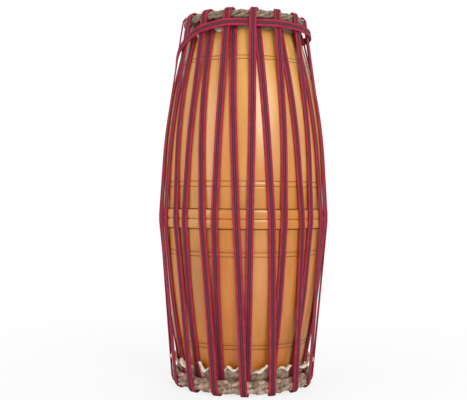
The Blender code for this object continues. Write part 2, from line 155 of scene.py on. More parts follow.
# Tape. An OFF value is from the wood or the hoop to the tape's middle, a TOUCH value is a height where the
# tape touches, and the ANGLES are at the start of a run, at the waist and at its end
RUNS_PER_HOOP = 16
PITCH = 360 / RUNS_PER_HOOP
TAPE_WIDTH = 0.0115
TAPE_THICKNESS = 0.0026
TAPE_OFF_HOOP = 0.0009 + TAPE_THICKNESS / 2
TAPE_OFF_WOOD = 0.0005 + TAPE_THICKNESS / 2
TAPE_OFF_TREBLE_HIDE = 0.0022 + TAPE_OFF_WOOD
TAPE_OFF_BASS_HIDE = 0.0011 + TAPE_OFF_WOOD
TREBLE_HIDE_TOUCHES = (0.577, TREBLE_REACH)
BASS_HIDE_TOUCHES = (0.030, 0.040)
WOOD_TOUCH_BOTTOM = {"rising": 0.050, "falling": 0.040}
WOOD_TOUCH_TOP = 0.560
WOOD_TOUCHES = 60
TAPE_CELLS = 6
TAPE_PLAY = 0.0002
TAPE_EDGE_ROUNDING = 0.0006
TAPE_STITCH_SPACING = 0.0034
TAPE_WARP_RIBS = 11
RISING_ANGLES = (4.0, 4.2, 7.0)
FALLING_ANGLES = (12.0, 18.2, 23.5)
WAIST_HEIGHT = 0.272
LOOP_MEETS_RUN = 15
LOOP_STEP = 10
LONGEST_STATION = 0.012
SEAM_RUN = 8
SEAM_START_HEIGHT = 0.041
TAIL_END_HEIGHT = 0.082
TAIL_STEPS = 4

# Tie strap: stops (angle, radius, height) of its middle, how its outer face leans up, steps between stops
TIE_ROUTE = (
    (-78.6, 0.1142, 0.518),
    (-76.5, 0.1143, 0.521),
    (-71, 0.1150, 0.531),
    (-65, 0.1152, 0.541),
    (-58, 0.1140, 0.550),
    (-48, 0.1122, 0.561),
    (-38, 0.1106, 0.5675),
    (-26, 0.1093, 0.572),
    (-15.5, 0.1092, 0.5745),
    (-4, 0.1050, 0.5755),
    (7, 0.1006, 0.5755),
    (18, 0.1050, 0.575),
    (29.5, 0.1092, 0.5745),
    (52, 0.1092, 0.574),
    (90, 0.1092, 0.573),
    (130, 0.1092, 0.573),
    (170, 0.1092, 0.573),
    (205, 0.1092, 0.573),
    (232, 0.1092, 0.572),
    (243, 0.1050, 0.571),
    (254.5, 0.1006, 0.570),
    (262, 0.1007, 0.569),
)
TIE_LEAN = 8.7
TIE_STEPS = 8

# Camera of the photo: its place and turn, with the drum's axis at x = 0
CAMERA_DISTANCE = 1.322
CAMERA_HEIGHT = 0.3033
CAMERA_PITCH_DOWN = 0.086
CAMERA_TURN_LEFT = 0.712
CAMERA_ROLL = 0.4
CAMERA_LENS = 61.13
CAMERA_SENSOR = 36

# Lamps: place, where it looks, size and power
LAMPS = {
    "key": ((0.9, -1.7, 1.25), (0, 0, 0.35), 0.9, 19),
    "fill": ((-1.5, -1.3, 0.8), (0, 0, 0.30), 1.2, 9),
    "back": ((0.2, 1.7, 1.3), (0, 0, 0.35), 1.0, 10),
}
WORLD_STRENGTH = 0.62

# Floor: in the view it is this white at the drum, and quite white past the second distance of the fade
FLOOR_HALF_SIZE = 6.0
FLOOR_WHITE_NEAR = 0.78
FLOOR_FADE = (0.15, 0.9)


def colour_property(name, description, default):
    return FloatVectorProperty(
        name=name, description=description, default=default, subtype="COLOR", min=0, max=1
    )


class MridangamColours(bpy.types.PropertyGroup):
    wood_light: colour_property("Light wood", "Golden grain of the upper shell", (0.74, 0.385, 0.082))
    wood_deep: colour_property("Deep wood", "Orange grain of the lower shell", (0.61, 0.205, 0.020))
    tape_edge: colour_property("Tape edge", "Crimson border of the woven tape", (0.36, 0.010, 0.036))
    tape_middle: colour_property("Tape middle", "Dark stripe of the woven tape", (0.043, 0.010, 0.017))
    rope: colour_property("Rope hide", "Grey-brown hide of the treble hoop", (0.40, 0.30, 0.20))
    bundle: colour_property("Bundle hide", "Brown hide of the bass hoop", (0.66, 0.45, 0.32))
    hide: colour_property("Ring hide", "Hide of the treble rings", (0.42, 0.33, 0.22))
    ragged: colour_property("Ragged hide", "Hide of the bass ring and its tongues", (0.62, 0.44, 0.32))
    torn_edge: colour_property("Torn edge", "Cream edge of the trimmed hide", (0.80, 0.70, 0.53))
    skin: colour_property("Skin", "Thin skin of the membranes", (0.62, 0.52, 0.37))
    paste: colour_property("Paste", "Black paste of the tuning patch", (0.018, 0.017, 0.018))
    reed: colour_property("Reed", "Dry straw under the treble ring", (0.66, 0.50, 0.22))


class MridangamSizes(bpy.types.PropertyGroup):
    sides: IntProperty(name="Turned sides", description="Steps of each turned piece", default=160, min=48)
    treble_twists: IntProperty(
        name="Treble twists", description="Turns of the treble rope", default=13, min=1
    )
    bass_twists: IntProperty(name="Bass twists", description="Turns of the bass bundle", default=6, min=1)
    curl: FloatProperty(
        name="Curl", description="How far the torn edge curls out", default=0.010, unit="LENGTH"
    )
    rib_spacing: FloatProperty(
        name="Rib spacing", description="Weft ribs of the tape", default=0.00115, unit="LENGTH"
    )


class MridangamSettings(bpy.types.PropertyGroup):
    colours: PointerProperty(type=MridangamColours)
    sizes: PointerProperty(type=MridangamSizes)


def between(start, end, share):
    return start + (end - start) * share


def around(angle, radius, height):
    """The point at an angle, radius and height of the drum."""
    turn = math.radians(angle)
    return Vector((radius * math.sin(turn), -radius * math.cos(turn), height))


def shell_radius(height):
    """Outer radius of the bare wood: a level belly that tapers to each rim by its own power curve."""
    if height > TREBLE_TAPER_START:
        share = (height - TREBLE_TAPER_START) / (TREBLE_RIM_HEIGHT - TREBLE_TAPER_START)
        return BELLY_RADIUS - (BELLY_RADIUS - TREBLE_RIM_RADIUS) * share**TREBLE_TAPER_POWER
    if height < BASS_TAPER_START:
        share = (BASS_TAPER_START - height) / (BASS_TAPER_START - BASS_RIM_HEIGHT)
        return BELLY_RADIUS - (BELLY_RADIUS - BASS_RIM_RADIUS) * share**BASS_TAPER_POWER
    return BELLY_RADIUS


def feed(tree, node, inputs):
    """Gives a node its inputs. Each is a plain value, or a socket to link."""
    for key, value in inputs.items():
        if isinstance(value, bpy.types.NodeSocket):
            tree.links.new(value, node.inputs[key])
        else:
            node.inputs[key].default_value = value


def put(tree, kind, inputs=None, **settings):
    """Adds a node with its settings and inputs."""
    node = tree.nodes.new(kind)
    for name, value in settings.items():
        setattr(node, name, value)
    feed(tree, node, inputs or {})
    return node


def maths(tree, operation, first, second=0.0, clamp=False):
    node = put(tree, "ShaderNodeMath", {0: first, 1: second}, operation=operation, use_clamp=clamp)
    return node.outputs[0]


def wave(tree, phase):
    """A sine that swings between 0 and 1."""
    return maths(tree, "MULTIPLY", maths(tree, "ADD", maths(tree, "SINE", phase), 1.0), 0.5)


def blend_colours(tree, factor, first, second, blend="MIX"):
    node = put(
        tree, "ShaderNodeMix", {0: factor, 6: first, 7: second}, data_type="RGBA", blend_type=blend
    )
    return node.outputs[2]


def stretch(tree, vector, scale):
    return put(tree, "ShaderNodeMapping", {"Vector": vector, "Scale": scale}).outputs[0]


def cloud(tree, vector, scale, detail=3.0, roughness=0.55):
    inputs = {"Vector": vector, "Scale": scale, "Detail": detail, "Roughness": roughness}
    return put(tree, "ShaderNodeTexNoise", inputs).outputs["Fac"]


def cracks(tree, vector, scale):
    """Distance to the nearest edge of a cell, as of a crease in hide or a plate of paste."""
    inputs = {"Vector": vector, "Scale": scale}
    return put(tree, "ShaderNodeTexVoronoi", inputs, feature="DISTANCE_TO_EDGE").outputs["Distance"]


def sharpen(tree, value, low, high):
    inputs = {"Value": value, "From Min": low, "From Max": high}
    return put(tree, "ShaderNodeMapRange", inputs, clamp=True).outputs["Result"]


def new_group(name, scale):
    """A node group from Vector and Scale to Mask and Height. Returns its tree and its two end nodes."""
    tree = bpy.data.node_groups.new(name, "ShaderNodeTree")
    tree.interface.new_socket(name="Vector", in_out="INPUT", socket_type="NodeSocketVector")
    size = tree.interface.new_socket(name="Scale", in_out="INPUT", socket_type="NodeSocketFloat")
    size.default_value = scale
    for output in ("Mask", "Height"):
        tree.interface.new_socket(name=output, in_out="OUTPUT", socket_type="NodeSocketFloat")
    return tree, tree.nodes.new("NodeGroupInput"), tree.nodes.new("NodeGroupOutput")


def wrinkle_group():
    """Creases and blotches of hide: a colour mask and a height."""
    found = bpy.data.node_groups.get("hide_wrinkles")
    if found:
        return found
    tree, given, made = new_group("hide_wrinkles", 200.0)
    vector, scale = given.outputs["Vector"], given.outputs["Scale"]
    blotch = cloud(tree, vector, scale, 4.0, 0.6)
    fine = cloud(tree, vector, maths(tree, "MULTIPLY", scale, 5.0), 3.0, 0.65)
    valley = sharpen(tree, cracks(tree, vector, scale), 0.0, 0.18)
    mixed = maths(tree, "MULTIPLY", sharpen(tree, blotch, 0.32, 0.68), maths(tree, "ADD", 0.45, fine))
    relief = maths(tree, "ADD", maths(tree, "MULTIPLY", valley, 0.45), maths(tree, "MULTIPLY", fine, 0.5))
    height = maths(tree, "ADD", relief, blotch)
    feed(tree, made, {"Mask": maths(tree, "MULTIPLY", mixed, 1.0, True), "Height": height})
    return tree


def grain_group():
    """Straight fibres along the drum's axis: a colour mask and a height."""
    found = bpy.data.node_groups.get("straight_grain")
    if found:
        return found
    tree, given, made = new_group("straight_grain", 60.0)
    drawn = stretch(tree, given.outputs["Vector"], (1.0, 1.0, 0.045))
    scale = given.outputs["Scale"]
    broad = cloud(tree, drawn, maths(tree, "MULTIPLY", scale, 0.5), 2.0, 0.5)
    fibres = cloud(tree, drawn, maths(tree, "MULTIPLY", scale, 5.0), 5.0, 0.7)
    mixed = maths(tree, "ADD", maths(tree, "MULTIPLY", broad, 0.65), maths(tree, "MULTIPLY", fibres, 0.35))
    feed(tree, made, {"Mask": sharpen(tree, mixed, 0.34, 0.66), "Height": fibres})
    return tree


def new_material(name):
    """A material with a Principled shader. Returns the material, its tree and the shader."""
    material = bpy.data.materials.new(f"{name}_finish")
    material.use_nodes = True
    tree = material.node_tree
    return material, tree, tree.nodes["Principled BSDF"]


def object_coordinates(tree):
    return put(tree, "ShaderNodeTexCoord").outputs["Object"]


def grouped(tree, group, vector, scale):
    node = put(tree, "ShaderNodeGroup", {"Vector": vector, "Scale": scale}, node_tree=group)
    return node.outputs["Mask"], node.outputs["Height"]


def bump(tree, shader, height, strength, distance):
    node = put(tree, "ShaderNodeBump", {"Height": height, "Strength": strength, "Distance": distance})
    feed(tree, shader, {"Normal": node.outputs["Normal"]})


def lacquered_jackwood(settings):
    """Jackwood under clear lacquer: golden above, deeper orange below, with painted shade in the scribed
    lines and grooves and soft patches of painted highlight.
    """
    colours = settings.colours
    fibre_shade = (0.80, 0.69, 0.54, 1)
    smoke_colour = (0.30, 0.17, 0.07, 1)
    painted_highlight_colour = (0.78, 0.52, 0.24, 1)
    groove_shade_colour = (0.10, 0.035, 0.008, 1)
    material, tree, shader = new_material("lacquered_jackwood")
    place = object_coordinates(tree)
    mask, height = grouped(tree, grain_group(), place, 34.0)
    upright = put(tree, "ShaderNodeSeparateXYZ", {0: place}).outputs["Z"]
    drift = maths(tree, "MULTIPLY", maths(tree, "SUBTRACT", cloud(tree, place, 7.0), 0.5), 0.5)
    high = sharpen(tree, maths(tree, "ADD", upright, drift), 0.16, 0.60)
    base = blend_colours(tree, high, (*colours.wood_deep, 1), (*colours.wood_light, 1))
    deeper = blend_colours(tree, 1.0, base, fibre_shade, "MULTIPLY")
    grained = blend_colours(tree, mask, deeper, base)
    smoke = sharpen(tree, cloud(tree, stretch(tree, place, (1, 1, 0.35)), 16.0, 4.0), 0.56, 0.76)
    smoked = blend_colours(tree, maths(tree, "MULTIPLY", smoke, 0.60), grained, smoke_colour)
    # Painted highlight: soft pale patches mixed into the wood's colour stand in for the milky lacquer
    # highlights
    painted_highlight = sharpen(tree, cloud(tree, stretch(tree, place, (1, 1, 0.22)), 21.0, 3.0), 0.50, 0.72)
    highlighted = blend_colours(tree, maths(tree, "MULTIPLY", painted_highlight, 0.25), smoked, painted_highlight_colour)
    # Painted shade: the cut attribute darkens the bottoms of the scribed lines and the bead's grooves
    cut = put(tree, "ShaderNodeAttribute", attribute_name="cut").outputs["Fac"]
    colour = blend_colours(tree, maths(tree, "MULTIPLY", cut, 0.80, True), highlighted, groove_shade_colour)
    roughness = maths(tree, "ADD", 0.30, maths(tree, "MULTIPLY", smoke, 0.15))
    inputs = {"Base Color": colour, "Roughness": roughness, "Coat Weight": 0.35, "Coat Roughness": 0.22}
    feed(tree, shader, inputs)
    bump(tree, shader, height, 0.12, 0.0004)
    return material


def woven_tape(settings):
    """Ribbed tape with a dark stripe and a stitched middle line. Its u runs across, its v is metres along."""
    colours = settings.colours
    edge_highlight = (0.50, 0.028, 0.070, 1)
    raised_middle = (0.082, 0.022, 0.034, 1)
    between_ribs = (0.17, 0.012, 0.03, 1)
    thread = (0.60, 0.40, 0.44, 1)
    material, tree, shader = new_material("woven_tape")
    uv = put(tree, "ShaderNodeUVMap", uv_map="tape").outputs["UV"]
    split = put(tree, "ShaderNodeSeparateXYZ", {0: uv})
    off_middle = maths(tree, "ABSOLUTE", maths(tree, "SUBTRACT", split.outputs["X"], 0.5))
    fray = maths(tree, "SUBTRACT", cloud(tree, object_coordinates(tree), 420.0), 0.5)
    wobble = maths(tree, "MULTIPLY", fray, 0.05)
    stripe = sharpen(tree, maths(tree, "ADD", off_middle, wobble), 0.245, 0.20)
    ribs = maths(tree, "MULTIPLY", split.outputs["Y"], math.tau / settings.sizes.rib_spacing)
    slant = maths(tree, "ADD", ribs, maths(tree, "MULTIPLY", off_middle, 14.0))
    weft = wave(tree, slant)
    warp = wave(tree, maths(tree, "MULTIPLY", split.outputs["X"], math.tau * TAPE_WARP_RIBS))
    stitches = maths(tree, "MULTIPLY", split.outputs["Y"], math.tau / TAPE_STITCH_SPACING)
    stitch_wave = maths(tree, "SINE", stitches)
    stitch_line = sharpen(tree, off_middle, 0.045, 0.02)
    stitch = maths(tree, "MULTIPLY", sharpen(tree, stitch_wave, 0.2, 0.7), stitch_line)
    # Painted highlight: lighter pink patches on the crimson edges stand in for the light on their rounded
    # cords
    edge_highlight_noise = cloud(tree, object_coordinates(tree), 90.0, 4.0)
    edge_highlight_mask = sharpen(tree, edge_highlight_noise, 0.35, 0.7)
    edge = blend_colours(tree, edge_highlight_mask, (*colours.tape_edge, 1), edge_highlight)
    middle = blend_colours(tree, weft, (*colours.tape_middle, 1), raised_middle)
    striped = blend_colours(tree, stripe, edge, middle)
    shaded = blend_colours(tree, maths(tree, "MULTIPLY", weft, 0.30), striped, between_ribs)
    colour = blend_colours(tree, maths(tree, "MULTIPLY", stitch, 0.35), shaded, thread)
    feed(tree, shader, {"Base Color": colour, "Roughness": 0.70, "Specular IOR Level": 0.25})
    relief = maths(tree, "ADD", maths(tree, "MULTIPLY", weft, 0.7), maths(tree, "MULTIPLY", warp, 0.5))
    bump(tree, shader, maths(tree, "ADD", relief, stitch), 0.55, 0.0004)
    return material


def hide_material(name, light, dark, scale, roughness, strength, torn=None):
    """Dry hide with creases. Where torn is given, the piece's torn attribute turns it that colour."""
    material, tree, shader = new_material(name)
    place = object_coordinates(tree)
    mask, height = grouped(tree, wrinkle_group(), place, scale)
    colour = blend_colours(tree, mask, (*dark, 1), (*light, 1))
    if torn is not None:
        edge = put(tree, "ShaderNodeAttribute", attribute_name="torn").outputs["Fac"]
        frayed = maths(tree, "ADD", edge, maths(tree, "MULTIPLY", maths(tree, "SUBTRACT", mask, 0.5), 0.4))
        colour = blend_colours(tree, sharpen(tree, frayed, 0.35, 0.8), colour, (*torn, 1))
    feed(tree, shader, {"Base Color": colour, "Roughness": roughness})
    bump(tree, shader, height, strength, 0.0012)
    return material


def rope_hide(settings):
    return hide_material("rope_hide", settings.colours.rope, (0.095, 0.070, 0.048), 170.0, 0.60, 0.7)


def bundle_hide(settings):
    return hide_material("bundle_hide", settings.colours.bundle, (0.085, 0.046, 0.033), 120.0, 0.50, 0.9)


def ragged_hide(settings):
    colours = settings.colours
    dark = (0.15, 0.085, 0.06)
    return hide_material("ragged_hide", colours.ragged, dark, 130.0, 0.55, 0.9, colours.torn_edge)


def pale_hide(settings):
    colours = settings.colours
    dark = (0.13, 0.115, 0.075)
    return hide_material("pale_hide", colours.hide, dark, 110.0, 0.60, 0.6, colours.torn_edge)


def thin_skin(settings):
    return hide_material("thin_skin", settings.colours.skin, (0.33, 0.28, 0.20), 45.0, 0.50, 0.25)


def black_paste(settings):
    """Hard black paste: crackled all over, greyer and duller where it is rubbed."""
    rubbed = (0.055, 0.052, 0.050, 1)
    material, tree, shader = new_material("black_paste")
    place = object_coordinates(tree)
    plate = sharpen(tree, cracks(tree, place, 260.0), 0.0, 0.10)
    rub = cloud(tree, place, 60.0, 4.0)
    colour = blend_colours(tree, rub, (*settings.colours.paste, 1), rubbed)
    roughness = maths(tree, "ADD", 0.30, maths(tree, "MULTIPLY", rub, 0.35))
    feed(tree, shader, {"Base Color": colour, "Roughness": roughness})
    bump(tree, shader, plate, 0.5, 0.0003)
    return material


def dry_reed(settings):
    furrow = (0.42, 0.28, 0.10, 1)
    material, tree, shader = new_material("dry_reed")
    mask, height = grouped(tree, grain_group(), object_coordinates(tree), 160.0)
    colour = blend_colours(tree, mask, furrow, (*settings.colours.reed, 1))
    feed(tree, shader, {"Base Color": colour, "Roughness": 0.55})
    bump(tree, shader, height, 0.3, 0.0003)
    return material


FINISHES = {
    "lacquered_jackwood": lacquered_jackwood,
    "woven_tape": woven_tape,
    "rope_hide": rope_hide,
    "bundle_hide": bundle_hide,
    "ragged_hide": ragged_hide,
    "pale_hide": pale_hide,
    "thin_skin": thin_skin,
    "black_paste": black_paste,
    "dry_reed": dry_reed,
}


def material_for(slot):
    """The finish of a material slot, made the first time a piece asks for it."""
    made = bpy.data.materials.get(f"{slot}_finish")
    return made or FINISHES[slot](bpy.context.scene.mridangam)


def add_piece(name, mesh, slot, replaced=None):
    """Links a finished mesh as a piece of the drum's one body, and hides the node it stands for."""
    mesh.materials.clear()
    mesh.materials.append(material_for(slot))
    obj = bpy.data.objects.new(name, mesh)
    bpy.context.scene.collection.objects.link(obj)
    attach(obj, "root")
    if replaced:
        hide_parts(replaced)
    return obj


def mesh_from(name, shape, sharp_angle=50, recalculate=True):
    if recalculate:
        bmesh.ops.recalc_face_normals(shape, faces=shape.faces)
    mesh = bpy.data.meshes.new(name)
    shape.to_mesh(mesh)
    shape.free()
    mesh.shade_smooth()
    mesh.set_sharp_from_angle(angle=math.radians(sharp_angle))
    return mesh


def turned(outline, sides):
    """Turns an outline round the drum's axis. It is closed, or starts and ends on the axis."""
    shape = bmesh.new()
    corners = [shape.verts.new((radius, 0, height)) for radius, height in outline]
    edges = [shape.edges.new(pair) for pair in zip(corners, corners[1:])]
    if outline[0][0] > 0:
        edges.append(shape.edges.new((corners[-1], corners[0])))
    bmesh.ops.spin(
        shape,
        geom=corners + edges,
        cent=(0, 0, 0),
        axis=(0, 0, 1),
        angle=math.tau,
        steps=sides,
        use_merge=True,
    )
    bmesh.ops.remove_doubles(shape, verts=shape.verts, dist=1e-6)
    return shape


def bead_outline():
    """The ring bead from its top edge down: two lobes, a groove between them and a V cut at each edge."""
    middle = (BEAD_TOP + BEAD_BOTTOM) / 2
    points = [
        (BELLY_RADIUS, BEAD_TOP + BEAD_V_WIDTH),
        (BELLY_RADIUS - BEAD_V_DEPTH, BEAD_TOP + BEAD_V_WIDTH / 2),
    ]
    for top, bottom in ((BEAD_TOP, middle), (middle, BEAD_BOTTOM)):
        for i in range(LOBE_STEPS + 1):
            bulge = math.sin(math.pi * i / LOBE_STEPS) ** LOBE_ROUNDNESS
            swing = (1 - math.cos(math.pi * i / LOBE_STEPS)) / 2
            rise = between(BEAD_EDGE_RISE, BEAD_RISE, bulge)
            points.append((BELLY_RADIUS + rise, between(top, bottom, swing)))
        if bottom == middle:
            points.pop()
    points.append((BELLY_RADIUS - BEAD_V_DEPTH, BEAD_BOTTOM - BEAD_V_WIDTH / 2))
    points.append((BELLY_RADIUS, BEAD_BOTTOM - BEAD_V_WIDTH))
    return points


def scribed_line(height):
    half = SCRIBED_WIDTH / 2
    return [
        (shell_radius(height + half), height + half),
        (shell_radius(height) - SCRIBED_DEPTH, height),
        (shell_radius(height - half), height - half),
    ]


def rim_corner(rim, facing, over_face, over_side):
    """A surface's bend over a rim, from the face round to the side."""
    side = rim - facing * RIM_ROUNDING
    centre = shell_radius(side) - RIM_ROUNDING
    points = []
    for i in range(RIM_STEPS + 1):
        turn = math.pi / 2 * (1 - i / RIM_STEPS)
        points.append(
            (
                centre + (RIM_ROUNDING + over_side) * math.cos(turn),
                side + facing * (RIM_ROUNDING + over_face) * math.sin(turn),
            )
        )
    return points


def shell_outline():
    """The shell's whole section: treble mouth, outside with its lines and bead, bass mouth and bore."""
    low = BASS_RIM_HEIGHT + RIM_ROUNDING
    high = TREBLE_RIM_HEIGHT - RIM_ROUNDING
    count = round((high - low) / STATION_SPACING)
    heights = [between(low, high, i / count) for i in range(1, count)]
    outside = [
        (shell_radius(z), z)
        for z in heights
        if all(abs(z - line) > SCRIBED_WIDTH for line in SCRIBED_HEIGHTS)
        and not BEAD_BOTTOM - 2 * BEAD_V_WIDTH < z < BEAD_TOP + 2 * BEAD_V_WIDTH
    ]
    for height in SCRIBED_HEIGHTS:
        outside += scribed_line(height)
    outside += bead_outline()
    outside.sort(key=lambda point: -point[1])
    treble_edge = (TREBLE_RIM_RADIUS - WALL_AT_MOUTH, TREBLE_RIM_HEIGHT)
    treble_mouth = [treble_edge, *rim_corner(TREBLE_RIM_HEIGHT, 1, 0, 0)]
    bass_edge = (BASS_RIM_RADIUS - WALL_AT_MOUTH, BASS_RIM_HEIGHT)
    bass_mouth = [bass_edge, *rim_corner(BASS_RIM_HEIGHT, -1, 0, 0)]
    bore = [(shell_radius(z) - WALL_IN_BORE, z) for z in heights[::BORE_STATION_STEP]]
    return treble_mouth + outside + bass_mouth[::-1] + bore


def mark_cuts(shape):
    """Paints the bottoms of the scribed lines and of the bead's grooves, for the painted shade in them."""
    layer = shape.verts.layers.float.new("cut")
    middle = (BEAD_TOP + BEAD_BOTTOM) / 2
    bead_cuts = (BEAD_TOP + BEAD_V_WIDTH / 2, middle, BEAD_BOTTOM - BEAD_V_WIDTH / 2)
    for corner in shape.verts:
        outside = math.hypot(corner.co.x, corner.co.y) > shell_radius(corner.co.z) - PAINTED_DEPTH
        near = min(abs(corner.co.z - cut) for cut in (*SCRIBED_HEIGHTS, *bead_cuts))
        corner[layer] = 1.0 if outside and near < PAINTED_HALF_WIDTH else 0.0


class MRIDANGAM_OT_shell(bpy.types.Operator):
    """Turn the jackwood shell with its scribed lines and ring bead"""

    bl_idname = "mridangam.shell"
    bl_label = "Barrel Shell"

    def execute(self, context):
        shape = turned(shell_outline(), context.scene.mridangam.sizes.sides)
        mark_cuts(shape)
        add_piece("turned_shell", mesh_from("turned_shell", shape), "lacquered_jackwood", "barrel_shell")
        return {"FINISHED"}


def outer_ring(name, face, facing, opening, edge, slot, replaced):
    """The flat of an outer hide ring, with a rounded inner edge that shows its cut hide."""
    sides = bpy.context.scene.mridangam.sizes.sides
    soft = RING_HIDE / 3
    back = face - facing * RING_HIDE
    outline = [
        (opening + soft, face),
        (between(opening, edge, 0.5), face),
        (edge, face - facing * soft),
        (edge, back),
        (between(opening, edge, 0.5), back),
        (opening + soft, back),
        (opening, back + facing * soft),
        (opening, face - facing * soft),
    ]
    shape = turned(outline, sides)
    layer = shape.verts.layers.float.new("torn")
    for corner in shape.verts:
        at_opening = math.hypot(corner.co.x, corner.co.y) < opening + 2 * soft
        corner[layer] = RING_EDGE_TORN if at_opening else 0.0
    add_piece(name, mesh_from(name, shape, 30), slot, replaced)


def smoothstep(low, high, value):
    share = min(max((value - low) / (high - low), 0), 1)
    return share * share * (3 - 2 * share)


def along_profile(profile, share):
    """The point at a share of the length of a profile of (radius, height) points."""
    lengths = [math.dist(a, b) for a, b in zip(profile, profile[1:])]
    left = share * sum(lengths)
    for (a, b), length in zip(zip(profile, profile[1:]), lengths):
        if left <= length:
            return between(a[0], b[0], left / length), between(a[1], b[1], left / length)
        left -= length
    return profile[-1]


def hide_tongue(shape, start_angle, end_angle, profile_at, torn_at, seed):
    """One tongue of hide between two strap slots, on a grid: across it in angle and along its profile."""
    layer = shape.verts.layers.float.get("torn") or shape.verts.layers.float.new("torn")
    wide, long = TONGUE_CELLS
    grid = bmesh.ops.create_grid(shape, x_segments=wide, y_segments=long, size=0.5)["verts"]
    for corner in grid:
        across, along = corner.co.x + 0.5, corner.co.y + 0.5
        angle = between(start_angle, end_angle, across)
        radius, height = along_profile(profile_at(angle, across), along)
        free = smoothstep(*TONGUE_RIPPLES_OVER, along)
        ripple = noise.noise(Vector((angle * 0.2, along * 3, seed))) * TONGUE_RIPPLE * free
        corner[layer] = smoothstep(*TONGUE_TEARS_OVER, along) * torn_at(angle)
        corner.co = around(angle, radius + ripple, height + ripple)


def ragged(angle, seed):
    """A slow unevenness round the drum with a quicker one on it, within about -1 to 1."""
    turn = math.radians(angle)
    slow = noise.noise(Vector((math.sin(turn) * 3, math.cos(turn) * 3, seed)))
    quick = noise.noise(Vector((angle * 0.17, seed * 2, 0.3)))
    fray = noise.noise(Vector((angle * 0.8, seed, 0.7)))
    return 0.8 * slow + quick + 0.15 * fray


def add_tongues(name, slot, tape_slot, profile_at, torn_at):
    """The 16 tongues of a ring, one between each tape slot and the next."""
    middle, half, _ = tape_slot
    shape = bmesh.new()
    for i in range(RUNS_PER_HOOP):
        start = middle + half + i * PITCH
        hide_tongue(shape, start, start + PITCH - 2 * half, profile_at, torn_at, i * 1.7)
    obj = add_piece(name, mesh_from(name, shape, 60), slot)
    thick = obj.modifiers.new("hide_thickness", "SOLIDIFY")
    thick.thickness = TONGUE_HIDE
    thick.offset = 0


def on_left(angle):
    """1 on the drum's left side, falling to 0 at its front, back and right."""
    return min(1.0, 1.6 * max(0.0, -math.sin(math.radians(angle))))


def treble_torn(angle):
    """How torn the treble edge is at an angle: most on the left."""
    return 0.15 + 0.85 * on_left(angle)


def bass_torn(angle):
    """The bass edge is torn all round."""
    return 1.0


def treble_profile(angle, across):
    """From the treble face over the rim and down to a trimmed edge under the hoop."""
    off = TREBLE_HIDE_OFF + TONGUE_HIDE / 2
    left = on_left(angle)
    free = math.sin(math.pi * across)
    edge = TREBLE_REACH + TREBLE_UNEVEN * ragged(angle, 4.0) - TREBLE_LONGER_ON_LEFT * left * free
    face = TREBLE_FACE - RING_HIDE / 2
    lift = TREBLE_LIFT + TREBLE_LIFT_ON_LEFT * left * free * (0.5 + abs(ragged(angle, 9.0)))
    corner = rim_corner(TREBLE_RIM_HEIGHT, 1, face - TREBLE_RIM_HEIGHT, off)
    return [
        (TREBLE_SLOT[2] - TONGUE_START_INSIDE, face),
        *corner,
        *((shell_radius(z) + off, z) for z in TREBLE_BENDS),
        (shell_radius(edge) + off + lift, edge),
    ]


def bass_profile(angle, across):
    """From the bass face over the rim, up inside the hoop, and out into a torn curling edge."""
    curl = bpy.context.scene.mridangam.sizes.curl
    off = BASS_HIDE_OFF + TONGUE_HIDE / 2
    uneven = ragged(angle, 2.0)
    free = math.sin(math.pi * across)
    edge = BASS_EDGE + BASS_UNEVEN * uneven
    face = BASS_FACE + RING_HIDE / 2
    root = shell_radius(BASS_ROOT) + off + BASS_ROOT_OFF
    lean = shell_radius(edge) + off + BASS_LEAN + BASS_LEAN_BETWEEN_STRAPS * free
    roll = curl * (0.25 + 0.75 * free * min(1.0, 0.4 + abs(ragged(angle, 7.0))))
    points = [
        (BASS_SLOT[2] - TONGUE_START_INSIDE, face),
        *rim_corner(BASS_RIM_HEIGHT, -1, BASS_RIM_HEIGHT - face, off),
        (shell_radius(BASS_WALL_HEIGHT) + off, BASS_WALL_HEIGHT),
        (root, BASS_ROOT),
        (between(root, lean, BASS_FLARE_SHARE), BASS_FLARE_HEIGHT),
    ]
    for i in range(CURL_STEPS + 1):
        turn = CURL_TURN * i / CURL_STEPS
        points.append((lean + roll * 0.5 * (1 - math.cos(turn)), edge + roll * 0.45 * math.sin(turn)))
    return points


def finish_nodes(start, slot):
    """Gives the carried-over nodes whose names start so their finish."""
    names = [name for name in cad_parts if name.startswith(start)]
    if not names:
        raise ValueError(f"the frame has no node {start}")
    for name in names:
        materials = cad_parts[name].data.materials
        materials.clear()
        materials.append(material_for(slot))


def patch_outline():
    """The paste patch from its crown to its edge, as thin layers that step down like a low dome."""
    thickness = PATCH_TOP - PATCH_BOTTOM
    outline = [(0, PATCH_TOP)]
    for i in range(1, PATCH_RINGS + 1):
        turn = math.pi / 2 * i / PATCH_RINGS
        rise = thickness * (PATCH_EDGE_SHARE + (1 - PATCH_EDGE_SHARE) * math.cos(turn))
        outline.append((PATCH_RADIUS * math.sin(turn), PATCH_BOTTOM + rise + PATCH_LAYER * (i % 2)))
    return [*outline, (PATCH_RADIUS, PATCH_BOTTOM), (0, PATCH_BOTTOM)]


class MRIDANGAM_OT_treble_head(bpy.types.Operator):
    """Dress the treble head with its outer ring, trimmed margin and tuning patch"""

    bl_idname = "mridangam.treble_head"
    bl_label = "Treble Head"

    def execute(self, context):
        edge = TREBLE_SLOT[2] - RING_TO_TONGUES
        outer_ring(
            "treble_ring_hide", TREBLE_FACE, 1, TREBLE_OPENING, edge, "pale_hide", "treble_outer_ring"
        )
        add_tongues("treble_margin", "pale_hide", TREBLE_SLOT, treble_profile, treble_torn)
        patch = turned(patch_outline(), context.scene.mridangam.sizes.sides // 2)
        add_piece("paste_patch", mesh_from("paste_patch", patch), "black_paste", "treble_tuning_patch")
        finish_nodes("treble_membrane", "thin_skin")
        finish_nodes("treble_inner_ring", "pale_hide")
        finish_nodes("treble_reed_", "dry_reed")
        return {"FINISHED"}


